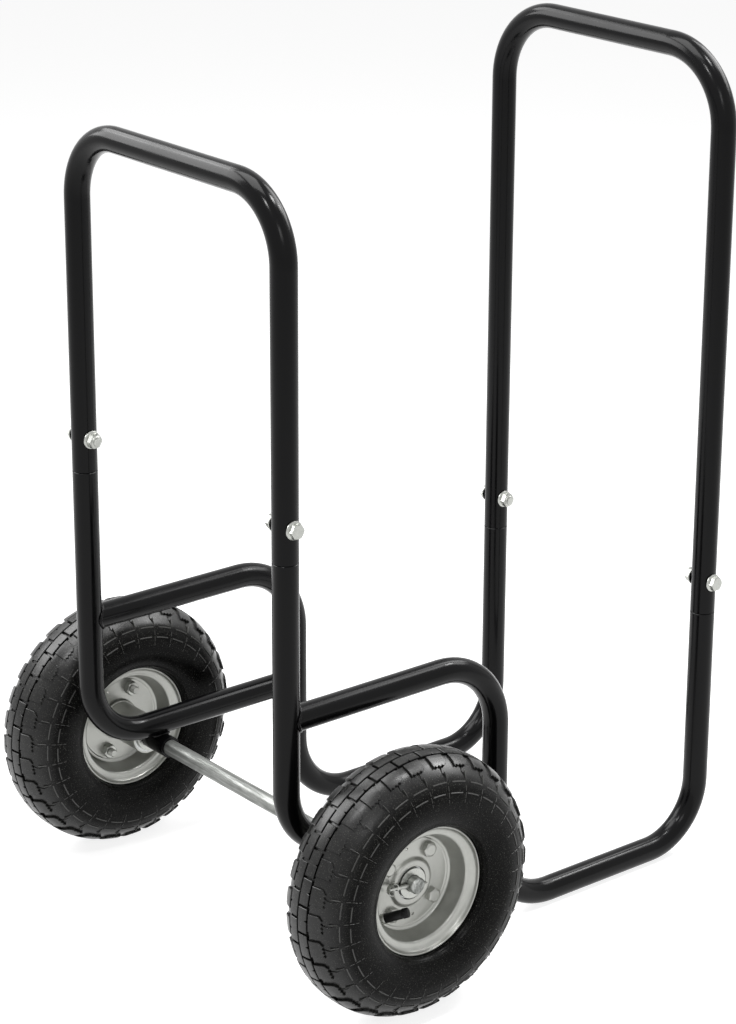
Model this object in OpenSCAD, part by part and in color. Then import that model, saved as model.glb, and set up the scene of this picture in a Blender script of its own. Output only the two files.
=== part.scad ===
// Two-wheeled fireside cart: welded tube frame with a shelf step, two bolted U handles,
// and a pair of pneumatic wheels on one through axle.
// Millimetres, +Z up, +Y from the wheels towards the tall handle, +X the cart's right side.
// The origin is on the floor, in the middle of the whole cart.

/* [Tube frame] */
// Outside diameter of the frame and handle tube
tube_d = 25; // [23:0.5:27]
// Wall thickness of the tube
tube_wall = 1.5; // [1.2:0.1:1.8]
// Distance between the centre lines of the left and right sides
side_gap = 318; // [290:2:350]
// Distance from the front posts to the back posts, centre to centre
post_gap = 533; // [500:1:570]
// Distance from the front posts to the risers, centre to centre
riser_back = 255; // [235:1:280]
// Height of the shelf rail's centre line above the floor
shelf_h = 286.5; // [270:0.5:310]
// Bend radius where the front post turns into the low rail
foot_bend_r = 62; // [50:1:75]
// Bend radius where the back post turns into the floor rail
heel_bend_r = 64; // [50:1:80]
// Bend radius where the floor rail turns up into the riser
riser_bend_r = 75; // [55:1:85]
// Bend radius where the riser turns into the shelf rail
shelf_bend_r = 72; // [50:1:80]

/* [Handles] */
// Height of the low handle's top above the floor
low_handle_top = 792; // [700:1:880]
// Height of the tall handle's top above the floor
tall_handle_top = 844; // [760:0.5:960]
// Bend radius of the low handle's corners
low_bend_r = 66; // [50:1:90]
// Bend radius of the tall handle's corners
tall_bend_r = 74; // [50:1:90]
// Height of the seam between the front post and the low handle
low_seam_h = 442; // [410:1:480]
// Height of the seam between the back post and the tall handle
tall_seam_h = 262; // [240:1:300]
// Length of the swaged spigot that the handle slides over
spigot_len = 58; // [50:1:70]
// Depth of the bevel on the tube ends at each seam
seam_bevel = 0.6; // [0.3:0.1:0.9]
// Radial clearance of the spigot in the handle
spigot_fit = 0.05; // [0.03:0.01:0.1]

/* [Handle bolts] */
// Thread diameter of the handle bolts
bolt_d = 8; // [6:1:8]
// Height of each bolt above its seam
bolt_rise = 34; // [26:1:42]
// Width across the flats of the bolt heads and nuts
hex_flats = 13; // [11:0.5:14]
// Diameter of the pressed flange under heads and nuts
flange_d = 17.9; // [16:0.1:19]
// Thickness of that flange
flange_t = 1.6; // [1.2:0.1:2.2]
// Height of the hexagon on the bolt heads
head_h = 5.3; // [4:0.1:6]
// Height of the hexagon on the nuts
nut_h = 7; // [5:0.1:8]
// Length of thread that stands out of each nut
thread_out = 2.2; // [1:0.1:5]

/* [Axle] */
// Diameter of the axle bar
axle_d = 16; // [14:0.5:17]
// Distance from the front posts back to the axle
axle_back = 82; // [75:1:100]
// Length of the sleeve welded under each low rail
sleeve_len = 34; // [26:1:40]
// Outside diameter of the sleeve
sleeve_d = 22; // [20.5:0.5:24]
// Depth of the saddle where the sleeve seats on the rail
sleeve_saddle = 0.5; // [0.3:0.1:1]
// Outside diameter of the axle washers
washer_d = 30; // [26:0.5:31]
// Thickness of the axle washers
washer_t = 3; // [2:0.1:3.5]
// Diameter of the split pins
pin_d = 4; // [3:0.5:4.5]
// Length of split pin from the axle centre to its eye
pin_head_reach = 26; // [20:1:28]
// Length of split pin from the axle centre to its tips
pin_tip_reach = 14; // [12:1:20]
// Tilt of the split pins above the horizontal
pin_tilt = 6; // [0:1:20]
// Length of axle beyond the split pin's centre
axle_overhang = 6; // [5:0.5:10]

/* [Wheels] */
// Outside diameter of the tyre
wheel_d = 260; // [250:1:270]
// Width of the tyre across its sidewalls
tyre_w = 84; // [80:1:90]
// Diameter of the circle where the tyre is widest
belly_d = 179; // [174:1:188]
// Diameter of the rim over its flanges
rim_d = 127; // [124:0.5:130]
// Width of the rim over its flanges
rim_w = 57; // [54:0.5:60]
// Diameter of the bead seat
seat_d = 101.6; // [100:0.1:103]
// Diameter of the well inside the rim
well_d = 86; // [84:0.5:88]
// Depth of the bead seat's ridge below the rim's flange
ridge_depth = 14.5; // [13:0.5:16]
// Depth of the rim's curled flange
flange_depth = 6; // [5:0.5:7]
// Thickness of the rim's pressed sheet
sheet = 2; // [1.6:0.1:2.2]
// Diameter of the raised boss round the hub
boss_d = 50; // [47:0.5:54]
// Diameter of the circle through the rim bolts
rim_bolt_circle = 69.5; // [68:0.5:69.5]
// Number of bolts that join the two rim halves
rim_bolts = 4; // [3:1:5]
// Length of thread that stands out of each rim nut
rim_thread_out = 5; // [2:0.5:7]
// Diameter of the two small drain holes in each rim disc
drain_d = 3; // [2:0.5:4]

/* [Hub] */
// Length of the hub tube
hub_len = 60; // [52:1:70]
// Distance that the hub stands outboard of the wheel's middle
hub_out = 3.5; // [2.5:0.5:6]
// Outside diameter of the hub tube
hub_d = 38; // [37:0.5:41]
// Outside diameter of the ball bearings
bearing_d = 35; // [33:0.5:35]
// Width of the ball bearings
bearing_w = 11; // [9:0.5:13]
// Radial running clearance of the bearings on the axle
axle_fit = 0.06; // [0.02:0.01:0.1]

/* [Tyre and valve] */
// Thickness of rubber under the tread
tread_t = 9.5; // [8:0.5:11]
// Number of tread blocks on each shoulder
tread_blocks = 30; // [26:1:32]
// Length of the gap between two shoulder blocks
tread_gap = 9.2; // [7:0.1:11]
// Height of the shoulder blocks over the panels on the sidewall
tread_h = 2.3; // [1.5:0.1:3]
// Thickness of the tyre's sidewall
sidewall_t = 4.5; // [3.5:0.5:5.5]
// Wall thickness of the inner tube
inner_tube_t = 2.5; // [2:0.1:3.5]
// Diameter of the valve stem
stem_d = 8; // [6.5:0.5:8.5]
// Length of the valve stem from the inner tube
stem_len = 36; // [32:1:38]
// Diameter of the valve cap
cap_d = 9.5; // [9:0.5:11]
// Length of the valve cap
cap_len = 17; // [14:1:18]
// Tilt of the valve from the radius towards the outside
valve_tilt = 45; // [42:1:54]
// Place of the valve round the rim
valve_turn = 204.5; // [188:0.5:208]
// Angle at which the right wheel is parked
right_parked = 6.5; // [0:0.5:90]
// Angle at which the left wheel is parked
left_parked = 20; // [0:0.5:90]

/* [Hidden] */
$fn = 96;

LEFT = -1;
RIGHT = 1;
enamel = "#1e1f20";
zinc = "#c3c5c2";
silver = "#b9bbb6";
rubber = "#232322";

weld_gap = 0.3;       // between tubes that are welded together
seat_gap = 0.05;      // under bolt heads and nuts, and round screws in their threads
play = 0.3;           // end play between the hub, its washers and the pin
hole_fit = 0.25;      // radial clearance of bolts in their holes
bead_gap = 0.15;      // between tyre and rim
tube_gap = 0.3;       // between inner tube and tyre
tube_seat = 2.5;      // height of the inner tube over the bead seat
shoulder_run = 0.77;  // exponents of the tyre's shoulder, across and up: 1 and 1 for an ellipse
shoulder_rise = 1.24;
block_in = 78;        // places on that curve of the shoulder blocks' inner and outer ends, from
block_out = 57;       // 90 at the crown to 0 at the widest point
tread_turn = 9.96;    // angle of the first gap in the outboard row of blocks
bead_t = 7;           // thickness of the tyre's bead round its wire
bead_toe = 2;         // overhang of the bead's toe
curl_r = 4;           // radius of the rim flange's bends, on its outer face
cut = 1;              // overlap of cutting shapes

tube_r = tube_d / 2;
bore_r = tube_r - tube_wall;
spigot_r = bore_r - spigot_fit;
spigot_bore_r = spigot_r - tube_wall;
swage_len = 2 * tube_wall;

wheel_r = wheel_d / 2;
axle_h = wheel_r;
axle_r = axle_d / 2;
side_x = side_gap / 2;
front_y = -(axle_back - wheel_r + post_gap + tube_r) / 2;
axle_y = front_y + axle_back;
riser_y = front_y + riser_back;
back_y = front_y + post_gap;
floor_rail_h = tube_r;
low_rail_h = axle_h + sleeve_d / 2 + tube_r - sleeve_saddle;

hub_in = hub_len - hub_out;
sleeve_end = side_x + sleeve_len / 2;
inner_washer_x = sleeve_end + play;
wheel_x = inner_washer_x + washer_t + play + hub_in;
outer_washer_x = wheel_x + hub_out + play;
pin_x = outer_washer_x + washer_t + play + pin_d / 2;
axle_end = pin_x + axle_overhang;

washer_r = washer_d / 2;
rim_half = rim_w / 2;
flange_r = rim_d / 2;
seat_r = seat_d / 2;
well_r = well_d / 2;
hub_r = hub_d / 2;
boss_r = boss_d / 2;
ridge_top = rim_half - ridge_depth;
seat_bend = [seat_r - sheet + curl_r, rim_half - flange_depth - curl_r];
flange_bend = [flange_r - sheet - curl_r, rim_half - flange_depth + curl_r];
mouth_r = washer_r + 1;
boss_top = hub_out + play + sheet;
rim_bolt_r = rim_bolt_circle / 2;
section_mid = belly_d / 2;

// ---- outlines ----

// points of an arc round centre c, from angle a to angle b
function arc(c, r, a, b, n = 5) = [for (i = [0:n]) let (t = a + (b - a) * i / n) c + r * [cos(t), sin(t)]];

function unit(v) = v / norm(v);
function left_of(v) = [-v.y, v.x];

// sideways step at point i of a path, so that a parallel path lies one unit to its left
function step(p, i) =
    let (a = unit(i > 0 ? p[i] - p[i - 1] : p[1] - p[0]),
         b = unit(i < len(p) - 1 ? p[i + 1] - p[i] : p[i] - p[i - 1]),
         m = left_of(a) + left_of(b))
    m * 2 / (m * m);

function beside(p, d) = [for (i = [0:len(p) - 1]) p[i] + d * step(p, i)];
function backwards(p) = [for (i = [len(p) - 1:-1:0]) p[i]];

// closed strip of sheet metal to the right of a path
function strip(p, t) = concat(p, backwards(beside(p, -t)));

// half outline that starts and ends on the middle line, completed with its mirror image
function both_sides(p) = concat(p, [for (i = [len(p) - 2:-1:1]) [p[i].x, -p[i].y]]);

// part of the tyre's section between places a and b, from 90 at the crown to 0 where it is widest:
// mid point, half width, height
function shoulder(mid, w, h, a, b, n) =
    [for (i = [0:n]) let (t = a + (b - a) * i / n)
        [mid + h * pow(sin(t), shoulder_rise), w * pow(cos(t), shoulder_run)]];

// ---- tube work ----

// rod along a flat path with rounded corners: points, corner radii, rod radius
module bent_rod(p, bend, r) {
    last = len(p) - 1;
    function dir(i) = unit(p[i + 1] - p[i]);
    function turn(i) = let (a = dir(i - 1), b = dir(i)) atan2(a.x * b.y - a.y * b.x, a * b);
    function tangent(i) = i == 0 || i == last ? 0 : bend[i - 1] * tan(abs(turn(i)) / 2);
    for (i = [0:last - 1]) {
        a = p[i] + dir(i) * tangent(i);
        run = norm(p[i + 1] - p[i]) - tangent(i) - tangent(i + 1);
        translate([a.x, a.y, 0])
            rotate([0, 0, atan2(dir(i).y, dir(i).x)])
                rotate([0, 90, 0]) cylinder(r = r, h = run);
    }
    for (i = [1:last - 1]) {
        s = sign(turn(i));
        c = p[i] - dir(i - 1) * tangent(i) + left_of(dir(i - 1)) * s * bend[i - 1];
        from = p[i] + (s > 0 ? -dir(i - 1) : dir(i)) * tangent(i) - c;
        translate([c.x, c.y, 0])
            rotate([0, 0, atan2(from.y, from.x)])
                rotate_extrude(angle = abs(turn(i))) translate([bend[i - 1], 0]) circle(r = r);
    }
}

// path drawn in (y, z) of one side of the cart
module in_side(side) {
    translate([side * side_x, 0, 0]) rotate([90, 0, 90]) children();
}

// reduced top of a post, which the handle slides over
module spigot(y, seam_h) {
    translate([0, y, seam_h - swage_len]) difference() {
        union() {
            cylinder(r = bore_r + tube_wall / 2, h = swage_len);
            translate([0, 0, swage_len / 2]) cylinder(r = spigot_r, h = spigot_len + swage_len / 2);
        }
        translate([0, 0, -cut]) cylinder(r = spigot_bore_r, h = swage_len + spigot_len + 2 * cut);
    }
}

// groove that the bevelled tube ends make together at a seam
module seam_groove(x, y, seam_h) {
    wide = seam_bevel + cut;
    translate([x, y, seam_h]) rotate_extrude()
        polygon([[tube_r - seam_bevel, 0], [tube_r + cut, wide], [tube_r + cut, -wide]]);
}

// hole for one handle bolt, across a post
module bolt_hole(x, y, seam_h) {
    translate([x - tube_d, y, seam_h + bolt_rise])
        rotate([0, 90, 0]) cylinder(r = bolt_d / 2 + hole_fit, h = 2 * tube_d);
}

// end of a rail, shaped to the post that it is welded to
module fish_mouth(side, y, rail_h) {
    translate([side * side_x, y, rail_h - tube_d]) cylinder(r = tube_r + weld_gap, h = 2 * tube_d);
}

module side_tube(side) {
    path = [[back_y, tall_seam_h], [back_y, floor_rail_h], [riser_y, floor_rail_h],
            [riser_y, shelf_h], [front_y, shelf_h]];
    bends = [heel_bend_r, riser_bend_r, shelf_bend_r];
    difference() {
        union() {
            difference() {
                in_side(side) bent_rod(path, bends, tube_r);
                in_side(side) bent_rod(path, bends, bore_r);
            }
            translate([side * side_x, 0, 0]) spigot(back_y, tall_seam_h);
        }
        fish_mouth(side, front_y, shelf_h);
        bolt_hole(side * side_x, back_y, tall_seam_h);
        seam_groove(side * side_x, back_y, tall_seam_h);
    }
}

module front_tube(side) {
    path = [[front_y, low_seam_h], [front_y, low_rail_h], [riser_y, low_rail_h]];
    difference() {
        union() {
            difference() {
                in_side(side) bent_rod(path, [foot_bend_r], tube_r);
                in_side(side) bent_rod(path, [foot_bend_r], bore_r);
            }
            translate([side * side_x, 0, 0]) spigot(front_y, low_seam_h);
        }
        fish_mouth(side, riser_y, low_rail_h);
        bolt_hole(side * side_x, front_y, low_seam_h);
        seam_groove(side * side_x, front_y, low_seam_h);
    }
}

module axle_sleeve(side) {
    difference() {
        translate([side * side_x - sleeve_len / 2, axle_y, axle_h]) rotate([0, 90, 0]) difference() {
            cylinder(d = sleeve_d, h = sleeve_len);
            translate([0, 0, -cut]) cylinder(r = axle_r + axle_fit, h = sleeve_len + 2 * cut);
        }
        translate([side * side_x, axle_y - sleeve_d, low_rail_h])
            rotate([-90, 0, 0]) cylinder(r = tube_r + weld_gap, h = 2 * sleeve_d);
    }
}

// U handle that stands on two posts
module handle(y, seam_h, top, bend_r) {
    path = [[-side_x, seam_h], [-side_x, top - tube_r], [side_x, top - tube_r], [side_x, seam_h]];
    difference() {
        translate([0, y, 0]) rotate([90, 0, 0]) bent_rod(path, [bend_r, bend_r], tube_r);
        translate([0, y, 0]) rotate([90, 0, 0]) bent_rod(path, [bend_r, bend_r], bore_r);
        for (x = [-side_x, side_x]) {
            bolt_hole(x, y, seam_h);
            seam_groove(x, y, seam_h);
        }
    }
}

module low_handle() {
    handle(front_y, low_seam_h, low_handle_top, low_bend_r);
}

module tall_handle() {
    handle(back_y, tall_seam_h, tall_handle_top, tall_bend_r);
}

// ---- fasteners, drawn along +Z from the face they clamp ----

module hexagon(h) {
    rotate([0, 0, 30]) cylinder(d = hex_flats / cos(30), h = h, $fn = 6);
}

module flange_bolt(len) {
    cylinder(d = flange_d, h = flange_t);
    hexagon(flange_t + head_h);
    translate([0, 0, -len]) cylinder(d = bolt_d, h = len);
}

module flange_nut() {
    difference() {
        union() {
            cylinder(d = flange_d, h = flange_t);
            hexagon(flange_t + nut_h);
        }
        translate([0, 0, -cut]) cylinder(r = bolt_d / 2 + seat_gap, h = flange_t + nut_h + 2 * cut);
    }
}

// places the children at the four handle joints, facing outboard from the tube's outside
module at_handle_joints() {
    for (side = [LEFT, RIGHT], post = [[front_y, low_seam_h], [back_y, tall_seam_h]])
        translate([side * side_x, post[0], post[1] + bolt_rise]) rotate([0, side * 90, 0]) children();
}

module handle_bolts() {
    grip = tube_d + 2 * seat_gap + flange_t + nut_h + thread_out;
    at_handle_joints() translate([0, 0, tube_r + seat_gap]) flange_bolt(grip);
}

module handle_nuts() {
    at_handle_joints() rotate([180, 0, 0]) translate([0, 0, tube_r + seat_gap]) flange_nut();
}

// ---- axle ----

module axle() {
    chamfer = 1;
    difference() {
        translate([0, axle_y, axle_h]) rotate([0, 90, 0]) union() {
            cylinder(r = axle_r, h = 2 * (axle_end - chamfer), center = true);
            for (side = [LEFT, RIGHT])
                translate([0, 0, side * (axle_end - chamfer)]) rotate([side < 0 ? 180 : 0, 0, 0])
                    cylinder(r1 = axle_r, r2 = axle_r - chamfer, h = chamfer);
        }
        for (side = [LEFT, RIGHT])
            at_pin(side) cylinder(r = pin_d / 2 + hole_fit, h = axle_d + 2 * cut, center = true);
    }
}

// the split pin's line: +Z points at its eye, which lies forward of the axle
module at_pin(side) {
    translate([side * pin_x, axle_y, axle_h]) rotate([90 - pin_tilt, 0, 0]) children();
}

module split_pins() {
    eye_r = pin_d;
    wire_r = pin_d / 4;
    for (side = [LEFT, RIGHT]) at_pin(side) {
        stem = pin_tip_reach + pin_head_reach - eye_r + wire_r;
        translate([0, 0, -pin_tip_reach]) cylinder(d = pin_d, h = stem);
        translate([0, 0, pin_head_reach]) rotate([0, 90, 0])
            rotate_extrude() translate([eye_r - wire_r, 0]) circle(r = wire_r);
    }
}

module axle_washers() {
    for (side = [LEFT, RIGHT], x = [inner_washer_x, outer_washer_x])
        translate([side * (x + washer_t / 2), axle_y, axle_h]) rotate([0, 90, 0]) difference() {
            cylinder(r = washer_r, h = washer_t, center = true);
            cylinder(r = axle_r + hole_fit, h = washer_t + 2 * cut, center = true);
        }
}

// ---- wheels: drawn round +Z, with +Z outboard and the wheel's middle at zero ----

module on_wheel(side) {
    translate([side * wheel_x, axle_y, axle_h])
        mirror([side < 0 ? 1 : 0, 0, 0])
            rotate([0, 90, 0])
                rotate([0, 0, 90 + (side < 0 ? left_parked : right_parked)]) children();
}

// outside face of a rim half from the disc out to the flange's edge, as (radius, height)
function rim_face() =
    let (fillet = 1.5, ridge = 3, root = 1.4)
    concat(
        arc([well_r - fillet, sheet + fillet], fillet, -90, 0),
        arc([well_r + ridge, ridge_top - ridge], ridge, 180, 90),
        arc([seat_r - sheet - root, ridge_top + root], root, -90, 0),
        arc(seat_bend, curl_r, 180, 90),
        arc(flange_bend, curl_r, -90, 0),
        [[flange_r - sheet, rim_half]]);

// the boss over the end of the hub, from its mouth out to the disc
function boss_face() =
    let (round = boss_top - sheet)
    concat([[mouth_r, boss_top]], arc([boss_r - round, sheet], round, 90, 0));

module rim_holes() {
    for (i = [0:rim_bolts - 1])
        rotate([0, 0, 45 + i * 360 / rim_bolts]) translate([rim_bolt_r, 0, -rim_half])
            cylinder(r = bolt_d / 2 + hole_fit, h = rim_w);
    for (i = [0, 1])
        rotate([0, 0, 90 + 180 * i]) translate([rim_bolt_r, 0, -rim_half]) cylinder(d = drain_d, h = rim_w);
}

module outer_rim(side) {
    on_wheel(side) difference() {
        rotate_extrude() polygon(strip(concat(boss_face(), rim_face()), sheet));
        rim_holes();
        at_valve() cylinder(r = stem_d / 2 + 1, h = stem_len);
    }
}

module inner_rim(side) {
    on_wheel(side) difference() {
        mirror([0, 0, 1]) rotate_extrude()
            polygon(strip(concat([[hub_r + weld_gap, sheet]], rim_face()), sheet));
        rim_holes();
    }
}

module hub(side) {
    on_wheel(side) translate([0, 0, -hub_in]) difference() {
        cylinder(r = hub_r, h = hub_len);
        translate([0, 0, -cut]) cylinder(d = bearing_d, h = hub_len + 2 * cut);
    }
}

module hub_bearings(side) {
    seal_in = 0.6;
    ring_t = 3;
    for (z = [-hub_in, hub_out - bearing_w])
        on_wheel(side) translate([0, 0, z]) difference() {
            cylinder(d = bearing_d, h = bearing_w);
            translate([0, 0, -cut]) cylinder(r = axle_r + axle_fit, h = bearing_w + 2 * cut);
            for (h = [-cut, bearing_w - seal_in])
                translate([0, 0, h]) difference() {
                    cylinder(r = bearing_d / 2 - ring_t, h = cut + seal_in);
                    translate([0, 0, -cut]) cylinder(r = axle_r + ring_t, h = seal_in + 3 * cut);
                }
        }
}

module rim_bolt_set(side) {
    on_wheel(side) for (i = [0:rim_bolts - 1])
        rotate([0, 0, 45 + i * 360 / rim_bolts]) translate([rim_bolt_r, 0, sheet + seat_gap]) {
            hexagon(head_h);
            shank = 2 * (sheet + seat_gap) + nut_h + rim_thread_out;
            translate([0, 0, -shank]) cylinder(d = bolt_d, h = shank);
        }
}

module rim_nut_set(side) {
    on_wheel(side) for (i = [0:rim_bolts - 1])
        rotate([0, 0, 45 + i * 360 / rim_bolts]) translate([rim_bolt_r, 0, -sheet - seat_gap - nut_h])
            difference() {
                hexagon(nut_h);
                translate([0, 0, -cut]) cylinder(r = bolt_d / 2 + seat_gap, h = nut_h + 2 * cut);
            }
}

function tyre_shoulder(a, b, n) = shoulder(section_mid, tyre_w / 2, wheel_r - section_mid, a, b, n);

// the sidewall's panels, which are sunk where they meet the blocks and rise to the full section
function panels() =
    let (p = tyre_shoulder(block_out, 0, 7))
    [for (i = [0:7]) p[i] + tread_h * pow(max(0, 1 - i / 4), 1.5) * step(p, i)];

// half of the tyre's outside, from the crown down to the flange, as (radius, height)
function tyre_outside() =
    let (edge = flange_r + 2 * bead_gap)
    concat(
        tyre_shoulder(90, block_out, 4), panels(),
        [for (i = [1:7]) let (t = 90 * i / 7)
            [section_mid - (section_mid - edge) * sin(t), rim_half + (tyre_w / 2 - rim_half) * cos(t)]]);

// half of the tyre's bead, against the rim, from the flange's edge in to its toe
function tyre_bead() =
    concat(
        arc(flange_bend, curl_r + sheet + bead_gap, 0, -90),
        arc(seat_bend, curl_r - sheet - bead_gap, 90, 180),
        [[seat_r + bead_gap, ridge_top - bead_toe / 2]]);

// the tyre's cavity, from the middle of the tread down to the bead's toe
function cavity_line() =
    let (inner_w = tyre_w / 2 - sidewall_t,
         knee = [flange_r + bead_t, rim_half],
         toe = [seat_r + bead_t + bead_toe, ridge_top - bead_toe / 2])
    concat(
        shoulder(section_mid, inner_w, wheel_r - tread_t - section_mid, 90, 0, 9),
        [for (i = [1:4]) let (t = 90 * i / 4)
            [section_mid - (section_mid - knee.x) * sin(t), knee.y + (inner_w - knee.y) * cos(t)]],
        [toe, [seat_r + tube_seat, ridge_top - 2 * bead_toe]]);

// gap between two shoulder blocks: its floor runs out through the blocks' outer end, over the panels
module block_gap() {
    over_panels = 0.3;
    run_out = 1.5;
    p = tyre_shoulder(block_in, block_out, 2);
    ground = beside(p, tread_h - over_panels);
    ahead = unit(ground[2] - ground[1]);
    end = ground[2] + run_out * ahead;
    rotate([90, 0, 0]) linear_extrude(tread_gap, center = true)
        polygon([ground[0], ground[1], end, end - 3 * tread_h * left_of(ahead),
                 [wheel_r + cut, ground[0].y]]);
}

module tyre(side) {
    half = concat(tyre_outside(), tyre_bead(), backwards(cavity_line()));
    pitch = 360 / tread_blocks;
    on_wheel(side) difference() {
        rotate_extrude() polygon(both_sides(half));
        for (row = [0, 1], i = [0:tread_blocks - 1])
            mirror([0, 0, row]) rotate([0, 0, tread_turn + (i + row / 2) * pitch]) block_gap();
    }
}

// half of the inner tube's section, t inside its own skin
function tube_section(t) =
    let (line = concat(cavity_line(), [[seat_r + tube_seat, 0]]),
         p = beside(line, tube_gap + t),
         n = len(p) - 1)
    concat([[p[0].x, 0]], [for (i = [1:n - 1]) p[i]], [[p[n].x, 0]]);

module at_valve() {
    root = seat_r + tube_seat + tube_gap + inner_tube_t / 2;
    rotate([0, 0, valve_turn]) translate([root, 0, 0]) rotate([0, valve_tilt - 90, 0]) children();
}

module inner_tube(side) {
    on_wheel(side) difference() {
        union() {
            rotate_extrude() polygon(both_sides(tube_section(0)));
            at_valve() cylinder(d = stem_d, h = stem_len);
        }
        rotate_extrude() polygon(both_sides(tube_section(inner_tube_t)));
        at_valve() translate([0, 0, -stem_d]) cylinder(d = stem_d / 2, h = stem_len + stem_d + cut);
    }
}

module valve_cap(side) {
    skirt = 10;
    on_wheel(side) at_valve() translate([0, 0, stem_len - skirt]) difference() {
        cylinder(d = cap_d, h = cap_len);
        translate([0, 0, -cut]) cylinder(r = stem_d / 2 + seat_gap, h = skirt + cut);
    }
}

color(enamel) side_tube(LEFT);  // side_tube_left
color(enamel) side_tube(RIGHT);  // side_tube_right
color(enamel) front_tube(LEFT);  // front_tube_left
color(enamel) front_tube(RIGHT);  // front_tube_right
color(enamel) axle_sleeve(LEFT);  // axle_sleeve_left
color(enamel) axle_sleeve(RIGHT);  // axle_sleeve_right
color(enamel) low_handle();
color(enamel) tall_handle();
color(zinc) handle_bolts();
color(zinc) handle_nuts();
color(zinc) axle();
color(zinc) axle_washers();
color(zinc) split_pins();
color(rubber) tyre(LEFT);  // tyre_left
color(rubber) tyre(RIGHT);  // tyre_right
color(rubber) inner_tube(LEFT);  // inner_tube_left
color(rubber) inner_tube(RIGHT);  // inner_tube_right
color(rubber) valve_cap(LEFT);  // valve_cap_left
color(rubber) valve_cap(RIGHT);  // valve_cap_right
color(silver) outer_rim(LEFT);  // outer_rim_left
color(silver) outer_rim(RIGHT);  // outer_rim_right
color(silver) inner_rim(LEFT);  // inner_rim_left
color(silver) inner_rim(RIGHT);  // inner_rim_right
color(silver) hub(LEFT);  // hub_left
color(silver) hub(RIGHT);  // hub_right
color(zinc) hub_bearings(LEFT);  // hub_bearings_left
color(zinc) hub_bearings(RIGHT);  // hub_bearings_right
color(zinc) rim_bolt_set(LEFT);  // rim_bolts_left
color(zinc) rim_bolt_set(RIGHT);  // rim_bolts_right
color(zinc) rim_nut_set(LEFT);  // rim_nuts_left
color(zinc) rim_nut_set(RIGHT);  // rim_nuts_right
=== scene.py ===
# %% [markdown]
# # A fireside cart in Blender
#
# The cart is a frame of bent black tube with two U handles, on two air-filled wheels that turn on one axle.
# Its construction comes from a CAD model: every tube, bolt and rim is already there at its real size.
# What the CAD model lacks is everything that makes it look made: rubber tread, threads, weld beads,
# rolled edges, and the finish of each surface. This script adds those, piece by piece.
#
# Units are metres, as in the CAD model. Workshop sizes are written in millimetres and multiplied by MM.

# %% Load the CAD model
import math

import bpy
from mathutils import Matrix, Vector


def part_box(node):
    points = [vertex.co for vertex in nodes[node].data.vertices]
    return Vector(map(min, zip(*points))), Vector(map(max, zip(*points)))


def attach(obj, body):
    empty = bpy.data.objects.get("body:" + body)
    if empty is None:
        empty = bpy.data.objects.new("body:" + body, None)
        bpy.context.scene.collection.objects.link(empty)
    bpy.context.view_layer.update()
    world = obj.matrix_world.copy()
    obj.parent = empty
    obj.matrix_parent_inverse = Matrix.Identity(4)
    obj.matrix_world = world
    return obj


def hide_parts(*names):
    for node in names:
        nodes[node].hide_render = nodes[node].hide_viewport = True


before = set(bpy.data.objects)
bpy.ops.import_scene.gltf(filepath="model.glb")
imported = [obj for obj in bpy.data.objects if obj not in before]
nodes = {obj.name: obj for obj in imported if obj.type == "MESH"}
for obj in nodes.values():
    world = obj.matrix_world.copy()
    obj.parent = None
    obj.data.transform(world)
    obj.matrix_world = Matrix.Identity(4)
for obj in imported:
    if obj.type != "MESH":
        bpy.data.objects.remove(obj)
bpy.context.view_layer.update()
bpy.ops.object.select_all(action="DESELECT")

MM = 0.001
SIDES = {"left": -1, "right": 1}

# %% [markdown]
# The new pieces have to sit exactly on what carries them, so their places are measured on the CAD model
# and not typed in. The box of the right tyre gives the wheel's middle, its radius and its width, and the
# box of a post gives the tube's radius. All wheel pieces are drawn round the X axis at the origin, and
# only then put in their place, because a circle round the origin is the easiest one to draw.

# %% Measure the wheel and the tube
tyre_low, tyre_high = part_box("tyre_right")
wheel_middle = (tyre_low + tyre_high) / 2
WHEEL_R = (tyre_high.z - tyre_low.z) / 2 / MM
TYRE_HALF = (tyre_high.x - tyre_low.x) / 2 / MM
low_bar, tall_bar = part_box("low_handle"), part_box("tall_handle")
TUBE_R = (low_bar[1].y - low_bar[0].y) / 2
SIDE_X = low_bar[1].x - TUBE_R
FRONT_Y = low_bar[0].y + TUBE_R
BACK_Y = tall_bar[0].y + TUBE_R
print(f"wheel radius {WHEEL_R:.1f} mm, half width {TYRE_HALF:.1f} mm, tube radius {TUBE_R / MM:.2f} mm")

# %% [markdown]
# ## The camera
# The photograph was taken from the cart's front right corner, a little above it, with a long lens that
# hardly narrows the far side. The camera is set by the direction it looks in and the point it looks at.
# The direction is worked out from two angles, and a quarter of a degree of roll levels the picture.

# %% Camera
AZIMUTH = math.radians(50.9)
ELEVATION = math.radians(20.15)
ROLL = math.radians(0.25)
AIM = Vector((0, FRONT_Y + 0.224, 0.393))
DISTANCE = 2.987
PHOTO_HEIGHT = 1024
FOCAL_LENGTH = 3050            # in pixels of the photograph
SENSOR = 36

forward = Vector((-math.sin(AZIMUTH) * math.cos(ELEVATION),
                  math.cos(AZIMUTH) * math.cos(ELEVATION),
                  -math.sin(ELEVATION)))
right = Vector((math.cos(AZIMUTH), math.sin(AZIMUTH), 0))
up = right.cross(forward)
rolled_right = right * math.cos(ROLL) + up * math.sin(ROLL)
rolled_up = up * math.cos(ROLL) - right * math.sin(ROLL)

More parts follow.
